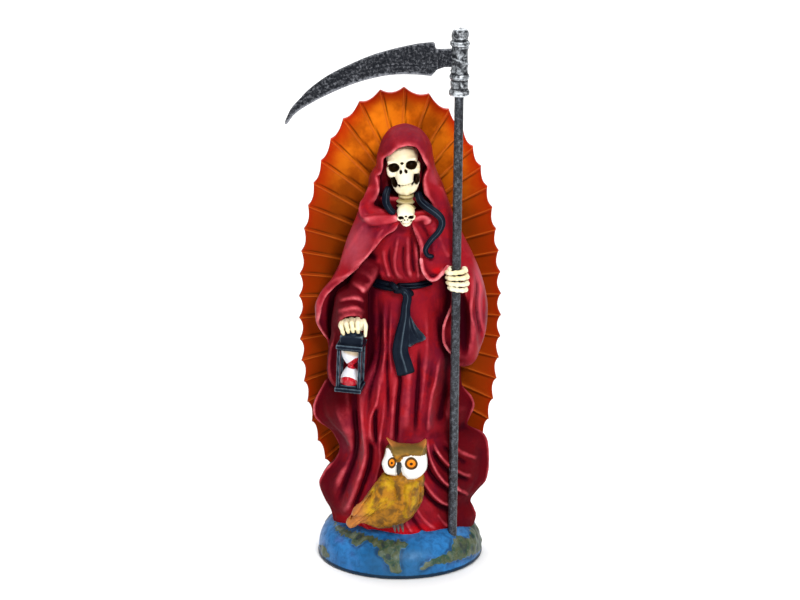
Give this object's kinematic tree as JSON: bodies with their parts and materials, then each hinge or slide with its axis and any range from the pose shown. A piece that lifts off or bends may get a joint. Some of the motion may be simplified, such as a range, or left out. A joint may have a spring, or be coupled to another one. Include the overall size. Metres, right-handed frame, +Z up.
{
  "type": "santa muerte figure",
  "caption": "Robed and hooded skeleton figure on a globe, in front of a rayed halo, holding a scythe and an hourglass, with an owl at its feet.",
  "frame": {"origin": "middle of the flat underside of the globe base", "axes": "+Z up, the figure faces -Y, and the hand with the scythe is on the +X side"},
  "size_m": [0.1174, 0.094, 0.3058],
  "materials": {
    "painted_resin": "satin crimson paint with a dark wash in the folds and a pink dry-brush on the ridges",
    "dark_rod": "black paint with a silver-grey dry-brush",
    "dark_casting": "black paint rubbed with silver, pitted like forged iron"
  },
  "bodies": {
    "root": {"statue": "painted_resin", "scythe_shaft": "dark_rod", "scythe_head": "dark_casting"}
  },
  "joints": []
}
